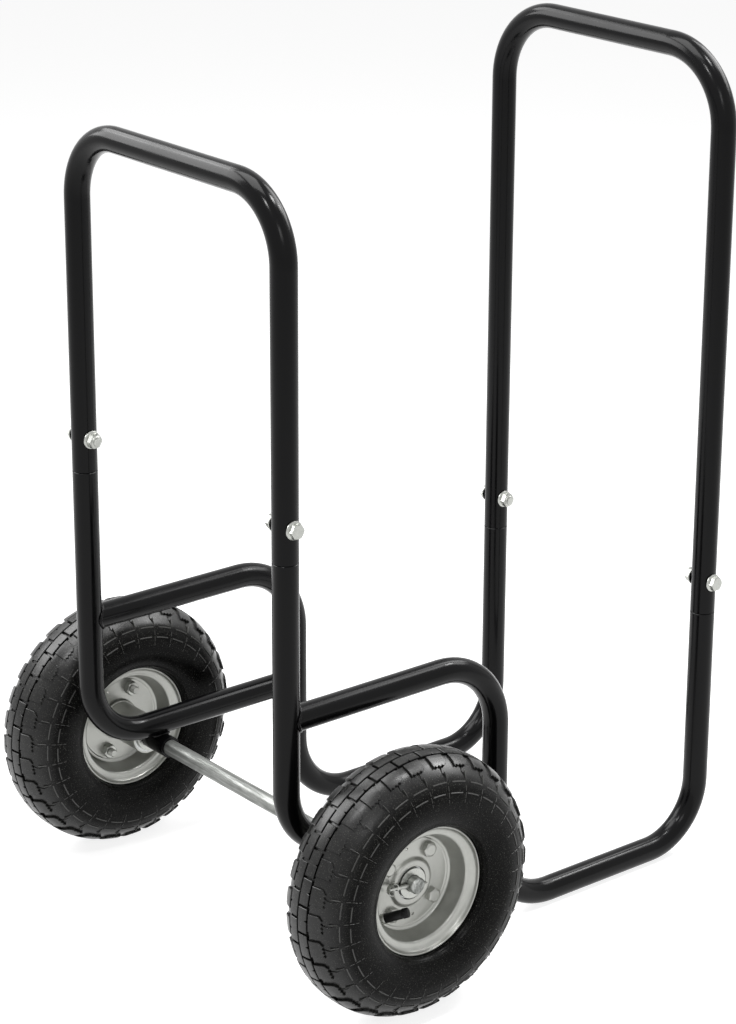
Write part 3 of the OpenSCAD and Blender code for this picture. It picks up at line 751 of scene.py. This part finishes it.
BOSS_FACE = [(17, 5.8)] + arc((20.5, 3.2), 2.6, 90, 35) + arc((25.77, 4.4), 2.4, 215, 265)
INNER_FACE = [(20.3, 2), (24, 2)]
FLAT_DISC = [(27, 2), (30, 2), (43, 2)]
DISC_RING = [(43.6, 2.1), (44.1, 2.5), (44.6, 2.75), (45.1, 2.7), (45.6, 2.85)]
BARREL = arc((45.4, 5.3), 2.4, -75, -12, 6) + [(48.9, 8), (50.2, 13), (51.3, 16.6)]
RIM_FLANGE = arc((55.2, 18.4), 3.4, 168, 95, 7) + [
    (55.6, 21.88), (57.2, 22.25), (58.9, 22.95), (60.3, 24.1), (61.2, 25.6), (61.6, 27.3)]

shared_face = FLAT_DISC + DISC_RING + BARREL + RIM_FLANGE
rims = {name: turned(name, strip(middle + shared_face, SHEET), steps=144)
        for name, middle in (("outer_rim", BOSS_FACE), ("inner_rim", INNER_FACE))}
rims["inner_rim"].scale.x = -1
settle(rims["inner_rim"])
print({name: len(rim.data.polygons) for name, rim in rims.items()})

# %% [markdown]
# Four bolt holes and two small drain holes go through both halves, and the valve comes out through the
# outer one. A Boolean modifier with the EXACT solver cuts each of them with a plain rod, which is
# thrown away afterwards.

# %% Holes in the rims
BOLT_CIRCLE, BOLT_HOLE_R = 34.75, 4.25
BOLT_TURNS = [45, 135, 225, 315]
DRAIN_TURNS, DRAIN_HOLE_R = [90, 270], 1.5
VALVE_HOLE_AT, VALVE_HOLE_R = 15, 4.6
VALVE_TURN = 204.5
VALVE_ROOT = 54.85
VALVE_AXIS = Vector((1, -1)).normalized()              # along X, and along the radius


def on_radius(along, radius, turn):
    """A point of a wheel piece, in metres."""
    turn = math.radians(turn)
    return Vector((along, radius * math.cos(turn), radius * math.sin(turn))) * MM


def drill(piece, place, direction, radius, length=60, sides=24):
    """Cuts a round hole through a piece."""
    focus()
    bpy.ops.mesh.primitive_cylinder_add(vertices=sides, radius=radius * MM, depth=length * MM,
                                        location=place)
    rod = bpy.context.object
    rod.rotation_euler = direction.to_track_quat("Z", "Y").to_euler()
    cut_out(piece, rod, "DIFFERENCE")


def cut_out(piece, tool, operation):
    """Applies one Boolean and removes the tool."""
    focus(piece)
    boolean = piece.modifiers.new("cut", "BOOLEAN")
    boolean.operation, boolean.solver, boolean.object = operation, "EXACT", tool
    bpy.ops.object.modifier_apply(modifier=boolean.name)
    bpy.data.objects.remove(tool)


def valve_point(along_stem):
    """A point on the valve's middle line, in metres, and the valve's direction."""
    place = on_radius(VALVE_AXIS.x * along_stem, VALVE_ROOT + VALVE_AXIS.y * along_stem, VALVE_TURN)
    ahead = on_radius(VALVE_AXIS.x, VALVE_AXIS.y, VALVE_TURN).normalized()
    return place, ahead


X_AXIS = Vector((1, 0, 0))
for rim in rims.values():
    for turn in BOLT_TURNS:
        drill(rim, on_radius(0, BOLT_CIRCLE, turn), X_AXIS, BOLT_HOLE_R)
    for turn in DRAIN_TURNS:
        drill(rim, on_radius(0, BOLT_CIRCLE, turn), X_AXIS, DRAIN_HOLE_R, sides=12)
drill(rims["outer_rim"], *valve_point(VALVE_HOLE_AT), VALVE_HOLE_R, length=26)
for name, rim in rims.items():
    to_wheels(rim, name, rim_paint, [name], crisp=32)

# %% [markdown]
# ## Bolts and nuts
# A bolt head starts as a six-sided cylinder. The bar it is made from is turned at the end, which cuts its
# corners back in curves. Intersecting the hexagon with a turned, chamfered blank gives exactly that
# shape. The handle bolts also have a pressed flange that spreads the load on the thin tube. Threads are
# turned as rings: their slope of 3 degrees can't be seen at this size.

# %% Hexagons and threads
FLATS = 13
THREAD_R, THREAD_PITCH, THREAD_DEPTH = 4, 1.25, 0.65


def hexagon(name, bottom, top, chamfer_both=False, chamfer=0.25):
    """A chamfered hexagon along X, with a flat facing up and down."""
    focus()
    height = (top - bottom) * MM
    bpy.ops.mesh.primitive_cylinder_add(vertices=6, radius=FLATS / 2 / math.cos(math.pi / 6) * MM,
                                        depth=height, rotation=(0, math.pi / 2, 0),
                                        location=((bottom + top) / 2 * MM, 0, 0))
    piece = bpy.context.object
    piece.name = name
    bpy.ops.object.transform_apply(location=True, rotation=True, scale=True)
    crown, wide = FLATS / 2 - chamfer, FLATS / 2 + 2
    slope = (wide - crown) * math.tan(math.radians(30))
    lower = [(0, bottom), (crown, bottom), (wide, bottom + slope)] if chamfer_both else [
        (0, bottom - 1), (wide, bottom - 1)]
    blank = turned("blank", lower + [(wide, top - slope), (crown, top), (0, top)], steps=48)
    cut_out(piece, blank, "INTERSECT")
    return piece


def threaded(name, bottom, plain_to, top):
    """A rod along X, plain up to plain_to and with thread ridges from there to its chamfered top."""
    root = THREAD_R - THREAD_DEPTH
    outline = [(0, bottom), (THREAD_R, bottom), (THREAD_R, plain_to)]
    along = plain_to
    while along + THREAD_PITCH < top - 0.3:
        outline += [(root, along + 0.4), (root, along + 0.55), (THREAD_R, along + 0.95),
                    (THREAD_R, along + THREAD_PITCH)]
        along += THREAD_PITCH
    outline += [(root, along + 0.4), (root - 0.2, top), (0, top)]
    return turned(name, outline, steps=32)


print("hexagons of", FLATS, "mm, thread pitch", THREAD_PITCH, "mm")

# %% Rim bolts and nuts
HEAD_FROM, HEAD_TO, SHANK_END = 2.05, 7.35, -14.05
NUT_FROM, NUT_TO = -9.05, -2.05
HEAD_CHAMFER, RIM_NUT_BORE_R = 1.5, 4.05


def on_bolt_circle(piece, turn):
    """Moves a piece that was modelled on the X axis out to one bolt hole."""
    piece.location = on_radius(0, BOLT_CIRCLE, turn)
    piece.rotation_euler.x = math.radians(turn)
    settle(piece)
    return piece


head = hexagon("head", HEAD_FROM, HEAD_TO, chamfer=HEAD_CHAMFER)
shank = threaded("shank", -HEAD_FROM - 0.3, 5.6, -SHANK_END)
shank.scale.x = -1
settle(shank)
bolt = joined("rim_bolt", head, shank)
nut = hexagon("rim_nut", NUT_FROM, NUT_TO, chamfer_both=True)
drill(nut, Vector((-5 * MM, 0, 0)), X_AXIS, RIM_NUT_BORE_R, length=20)
for name, pattern, coat in (("rim_bolts", bolt, rim_paint), ("rim_nuts", nut, zinc)):
    ring = [on_bolt_circle(copied(pattern, name), turn) for turn in BOLT_TURNS]
    bpy.data.objects.remove(pattern)
    to_wheels(joined(name, *ring), name, coat, [name], crisp=30)

# %% [markdown]
# A handle bolt's flange is a shallow cone under the head. Its nut is the locking kind: above the hexagon
# it closes in to a short dome that grips the thread, and the end of the bolt stands out of it. One bolt
# and one nut are modelled against the post's outside, and copied to the four joints.

# %% Handle bolts and nuts
HANDLE_JOINTS = [(FRONT_Y, 476 * MM), (BACK_Y, 296 * MM)]
SEAT = 0.05
BOLT_FLANGE = [(4.2, 0), (8.6, 0), (8.93, 0.4), (8.9, 1.0), (8.2, 1.5), (6.4, 2.3), (4.2, 2.3)]
HEX_ON_FLANGE, HEAD_TOP, NUT_TOP, BOLT_TIP = 1.4, 6.9, 8.6, 10.8
NUT_BORE_R = 4.1
DOME = [(NUT_BORE_R, NUT_TOP - 0.6), (5.9, NUT_TOP - 0.6), (5.7, NUT_TOP + 0.5),
        (4.9, NUT_TOP + 1.1), (NUT_BORE_R, NUT_TOP + 1.1)]


def on_flange(piece):
    """Adds the pressed flange under a hexagon."""
    flange = turned("flange", BOLT_FLANGE, steps=48)
    return joined(piece.name, piece, flange)


def at_joints(pattern, name, material, face, outwards):
    """Copies a pattern to the four handle joints, on the outboard or the inboard face of the post."""
    copies = []
    for sign in SIDES.values():
        for y, z in HANDLE_JOINTS:
            piece = copied(pattern, name)
            piece.scale.x = sign * outwards
            piece.location = (sign * (SIDE_X + outwards * face * MM), y, z)
            settle(piece)
            copies.append(piece)
    bpy.data.objects.remove(pattern)
    finish(joined(name, *copies), material, "cart", [name.removesuffix("_look")], 30)


tube_face = TUBE_R / MM + SEAT
head = on_flange(hexagon("handle_bolt", HEX_ON_FLANGE, HEAD_TOP))
through = 2 * tube_face + BOLT_TIP
shank = threaded("shank", -1.5, 18, through)
shank.scale.x = -1
settle(shank)
at_joints(joined("handle_bolt", head, shank), "handle_bolts_look", zinc, tube_face, 1)

nut = hexagon("handle_nut", HEX_ON_FLANGE, NUT_TOP)
drill(nut, Vector((5 * MM, 0, 0)), X_AXIS, NUT_BORE_R, length=20)
nut = joined("handle_nut", on_flange(nut), turned("dome", DOME, steps=32))
at_joints(nut, "handle_nuts_look", zinc, tube_face, -1)

# %% [markdown]
# ## Axle fittings
# The washers are stamped, so one edge of each is drawn down into a small round. They are turned pieces.
# They stand still with the cart, two on each end of the axle, one on either side of the hub.

# %% Axle washers
WASHER_PLACES, WASHER_THICK = [176.3, 239.9], 3
WASHER = [(8.25, 0.2), (8.45, 0), (14.3, 0), (14.8, 0.3), (15, 0.9), (15, 2.7), (14.8, 3), (8.5, 3),
          (8.25, 2.7)]
washers = []
for sign in SIDES.values():
    for place in WASHER_PLACES:
        washer = turned("washer", WASHER, steps=64)
        turned_over = place == WASHER_PLACES[0]
        washer.scale.x = -sign if turned_over else sign
        washer.location = (sign * (place + (WASHER_THICK if turned_over else 0)) * MM, wheel_middle.y,
                           wheel_middle.z)
        settle(washer)
        washers.append(washer)
finish(joined("axle_washers_look", *washers), zinc, "cart", ["axle_washers"], 30)

# %% [markdown]
# A split pin is one piece of half-round wire. Its two legs lie flat against each other, swing outwards
# above the hole, and meet in a round eye. It is made like the real one: a half-round face is pushed along
# the first leg, swung round the bends with the spin tool, and pushed back along the second leg.
# Where the outward bend ends and the eye begins is a corner of a triangle with sides of one bend radius
# and of both radii together, and that gives the angle.

# %% Split pins
PIN_X = 245.2
PIN_LINE = Vector((0, -0.9945, 0.1045))                # towards the eye
WIRE_R, EYE_AT, TIP_AT = 1.95, 26, -14
BEND_R, EYE_R = 2.6, 2.0
SHORT_LEG = 1.5

swing = math.acos(BEND_R / (BEND_R + EYE_R))
bend_at = EYE_AT - (BEND_R + EYE_R) * math.sin(swing)


def swung(place, angle, steps):
    """Sweeps the selected face round a point of the drawing plane."""
    bpy.ops.mesh.spin(steps=steps, angle=angle, center=Vector((*place, 0)) * MM, axis=(0, 0, 1))


half_round = [(TIP_AT, 0.04 + WIRE_R * math.sin(a), WIRE_R * math.cos(a))
              for a in (math.pi * i / 10 for i in range(11))]
pin = draw("split_pin", half_round + half_round[:1])
bpy.ops.mesh.edge_face_add()
bpy.ops.mesh.extrude_region_move(TRANSFORM_OT_translate={"value": ((bend_at - TIP_AT) * MM, 0, 0)})
swung((bend_at, BEND_R), swing, 4)
swung((EYE_AT, 0), -(math.pi + 2 * swing), 18)
swung((bend_at, -BEND_R), swing, 4)
bpy.ops.mesh.extrude_region_move(
    TRANSFORM_OT_translate={"value": ((TIP_AT + SHORT_LEG - bend_at) * MM, 0, 0)})
close(pin)

pins = []
for sign in SIDES.values():
    piece = copied(pin, "split_pin")
    across = X_AXIS.cross(PIN_LINE)
    piece.matrix_world = (Matrix.Translation((sign * PIN_X * MM, wheel_middle.y, wheel_middle.z))
                          @ Matrix((PIN_LINE, across, X_AXIS)).transposed().to_4x4())
    settle(piece)
    pins.append(piece)
bpy.data.objects.remove(pin)
finish(joined("split_pins_look", *pins), zinc, "cart", ["split_pins"], 30)

# %% [markdown]
# ## The valve
# The rubber stem belongs to the inner tube and is in the CAD model. It leaves the rim through a bright
# collar, and a long plastic cap is screwed over it. Fingers turn the cap by the ribs on its end. The ribs are
# made on one turned piece by pushing every second strip of its wall inwards.

# %% Valve collar and cap
CAP_RIBS, RIBS_FROM, WALL_R, NOTCH = 24, 34.5, 4.35, 0.93
CAP = [(4.05, 16.6), (4.4, 16.6), (4.55, 17), (4.5, 32.9), (4.3, 33.5), (4.6, 34.1), (4.8, 34.7),
       (4.8, 38.9), (4.4, 39.8), (3.4, 40.2), (0, 40.2), (0, 36.4), (4.05, 36.4)]
COLLAR = [(4.1, 12.6), (4.7, 12.6), (4.9, 13.2), (4.9, 15.2), (4.6, 16.4), (4.1, 16.4)]


def on_valve(piece):
    """Lays a piece that was modelled on the X axis along the valve."""
    place, ahead = valve_point(0)
    piece.rotation_euler = ahead.to_track_quat("X", "Y").to_euler()
    piece.location = place
    settle(piece)
    return piece


cap = turned("valve_cap", CAP, steps=CAP_RIBS * 2)
for vertex in cap.data.vertices:
    along, radius = vertex.co.x / MM, math.hypot(vertex.co.y, vertex.co.z) / MM
    turn = math.atan2(vertex.co.z, vertex.co.y) / math.tau * CAP_RIBS * 2
    if radius > WALL_R and along > RIBS_FROM and round(turn) % 2:
        vertex.co.y *= NOTCH
        vertex.co.z *= NOTCH
to_wheels(on_valve(cap), "valve_cap", cap_plastic, ["valve_cap"], crisp=25)
collar = on_valve(turned("valve_collar", COLLAR, steps=32))
to_wheels(collar, "valve_collar", zinc, crisp=25)

# %% [markdown]
# ## Weld beads
# Where a rail meets a post of the same size, the two tubes cross in a saddle. The weld follows it as one
# bead, laid in short steps that leave ripples about 2 mm apart. The bead is drawn as a closed chain of
# points on the saddle, turned into a curve, given a round section whose radius rises and falls, and made a
# mesh again. The powder coat covers the welds as well.

# %% Weld beads on the frame
BEAD_R = 1.9
RIPPLE, RIPPLE_DEPTH = 2.0, 0.16
tube = TUBE_R / MM
SHELF_RAIL_Z = 286.5
LOW_RAIL_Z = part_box("front_tube_right")[0].z / MM + tube
FRONT_TO_RISER = 255
RISER_Y = FRONT_Y / MM + FRONT_TO_RISER
IN_RAIL, OFF_POST = 0.3, 0.7


def bead(name, loop, radius=BEAD_R):
    """A rippled weld along a closed loop of points, in millimetres."""
    piece = draw(name, loop + loop[:1])
    bpy.ops.object.mode_set(mode="OBJECT")
    bpy.ops.object.convert(target="CURVE")
    line = piece.data
    line.bevel_depth, line.bevel_resolution, line.use_fill_caps = radius * MM, 2, True
    spline = line.splines[0]
    walked = 0
    for here, there in zip(spline.points, spline.points[1:]):
        here.radius = 1 - RIPPLE_DEPTH * abs(math.sin(math.pi * walked / RIPPLE))
        walked += (there.co - here.co).length / MM
    bpy.ops.object.convert(target="MESH")
    bpy.ops.object.mode_set(mode="EDIT")
    return close(piece)


def saddle(centre_x, post_y, rail_z, towards, steps=110):
    """The line where a rail along Y meets a post along Z: a little inside the rail, and off the post."""
    loop = []
    for i in range(steps):
        turn = math.tau * i / steps
        across, rise = (tube - IN_RAIL) * math.sin(turn), (tube - IN_RAIL) * math.cos(turn)
        stand_off = math.sqrt((tube + OFF_POST) ** 2 - across ** 2)
        loop.append((centre_x + across, post_y + towards * stand_off, rail_z + rise))
    return loop


for side, sign in SIDES.items():
    x = sign * SIDE_X / MM
    shelf = bead("shelf_weld", saddle(x, FRONT_Y / MM, SHELF_RAIL_Z, 1))
    low = bead("low_weld", saddle(x, RISER_Y, LOW_RAIL_Z, -1))
    finish(joined(f"frame_welds_{side}", shelf, low), powder_coat, "cart", crisp=60)

# %% Welds under the axle sleeves and round the hubs
AXLE_TO_SEAT = 11
SLEEVE_Z = wheel_middle.z / MM + AXLE_TO_SEAT
SMALL_BEAD_R = 1.5
HUB_WELD_X, HUB_WELD_R = -4.4, 19.6
seat_loop = [(7.5 * math.cos(a), 9.2 * math.sin(a)) for a in (math.tau * i / 60 for i in range(60))]
for side, sign in SIDES.items():
    loop = [(sign * SIDE_X / MM + across, wheel_middle.y / MM + along,
             SLEEVE_Z - 0.6 + 0.045 * across ** 2 * 0.5 - 0.045 * along ** 2 * 0.3)
            for across, along in seat_loop]
    finish(bead(f"sleeve_weld_{side}", loop, SMALL_BEAD_R), powder_coat, "cart", crisp=60)

hub_loop = [(HUB_WELD_X, HUB_WELD_R * math.cos(a), HUB_WELD_R * math.sin(a))
            for a in (math.tau * i / 120 for i in range(120))]
to_wheels(bead("hub_weld", hub_loop, SMALL_BEAD_R), "hub_weld", rim_paint, crisp=60)

# %% [markdown]
# ## Finishes on the CAD pieces
# The tubes, the axle, the hubs and their bearings keep their CAD shape, which is already that of the real
# part, and only change their material. The pieces that were replaced get theirs too, so that nothing is
# left with a plain colour.

# %% Materials for the CAD nodes
FINISHES = {"side_tube": powder_coat, "front_tube": powder_coat, "axle_sleeve": powder_coat,
            "low_handle": powder_coat, "tall_handle": powder_coat, "handle": zinc,
            "axle_washers": zinc, "split_pins": zinc, "axle": galvanised, "tyre": rubber,
            "inner_tube": rubber, "valve_cap": cap_plastic, "outer_rim": rim_paint,
            "inner_rim": rim_paint, "hub_bearings": bearing, "hub": rim_paint, "rim": zinc}
for name, node in nodes.items():
    kind = next(kind for kind in FINISHES if name.startswith(kind))
    node.data.materials.clear()
    node.data.materials.append(FINISHES[kind])
print(len(nodes), "CAD nodes finished")
